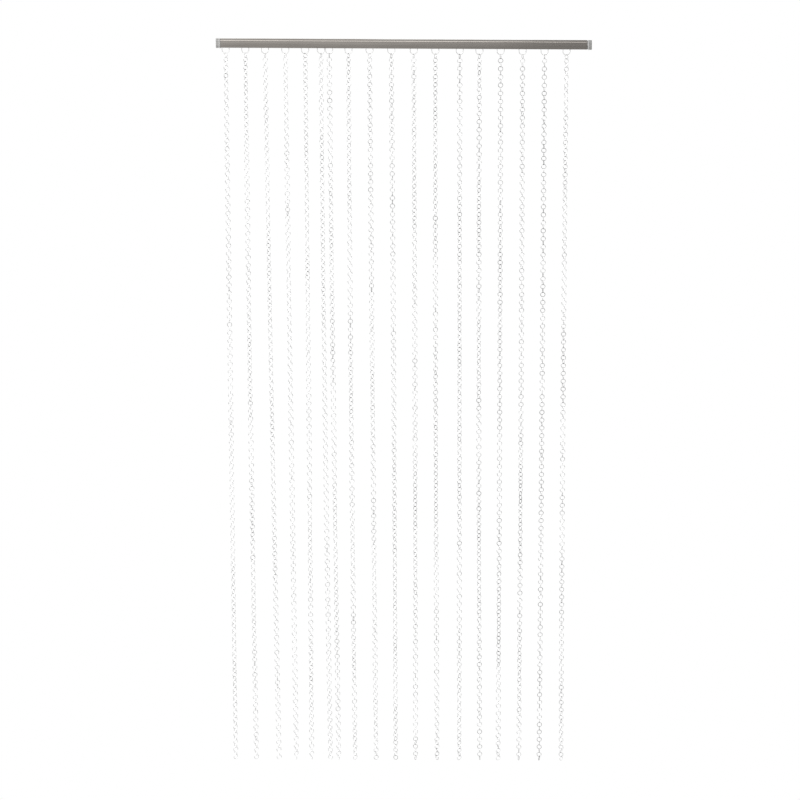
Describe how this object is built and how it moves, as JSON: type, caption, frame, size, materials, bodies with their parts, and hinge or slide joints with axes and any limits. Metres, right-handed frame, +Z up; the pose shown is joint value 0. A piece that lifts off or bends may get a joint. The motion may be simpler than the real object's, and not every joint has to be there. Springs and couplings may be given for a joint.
{
  "type": "chain bead curtain with rail",
  "caption": "Door curtain of round-link metal chains hung side by side on wire hangers from a slotted aluminium rail with plastic end caps.",
  "frame": {"origin": "middle of the rail's flat top face", "axes": "+X along the rail to the right as seen from the front, +Y to the back, +Z up; the front faces -Y"},
  "size_m": [1, 0.0245, 1.9951],
  "materials": {
    "rail_aluminium": "satin, drawn along its length, warm grey",
    "cap_plastic": "light grey, satin",
    "hanger_wire": "bright drawn wire",
    "chain_aluminium": "bright, lightly polished wire"
  },
  "bodies": {
    "root": {"rail": "rail_aluminium", "end_cap_left": "cap_plastic", "end_cap_right": "cap_plastic", "hanger_01": "hanger_wire", "hanger_02": "hanger_wire", "hanger_03": "hanger_wire", "hanger_04": "hanger_wire", "hanger_05": "hanger_wire", "hanger_06": "hanger_wire", "hanger_07": "hanger_wire", "hanger_08": "hanger_wire", "hanger_09": "hanger_wire", "hanger_10": "hanger_wire", "hanger_11": "hanger_wire", "hanger_12": "hanger_wire", "hanger_13": "hanger_wire", "hanger_14": "hanger_wire", "hanger_15": "hanger_wire", "hanger_16": "hanger_wire", "hanger_17": "hanger_wire", "hanger_18": "hanger_wire", "chain_01": "chain_aluminium", "chain_02": "chain_aluminium", "chain_03": "chain_aluminium", "chain_04": "chain_aluminium", "chain_05": "chain_aluminium", "chain_06": "chain_aluminium", "chain_07": "chain_aluminium", "chain_08": "chain_aluminium", "chain_09": "chain_aluminium", "chain_10": "chain_aluminium", "chain_11": "chain_aluminium", "chain_12": "chain_aluminium", "chain_13": "chain_aluminium", "chain_14": "chain_aluminium", "chain_15": "chain_aluminium", "chain_16": "chain_aluminium", "chain_17": "chain_aluminium", "chain_18": "chain_aluminium"}
  },
  "joints": []
}
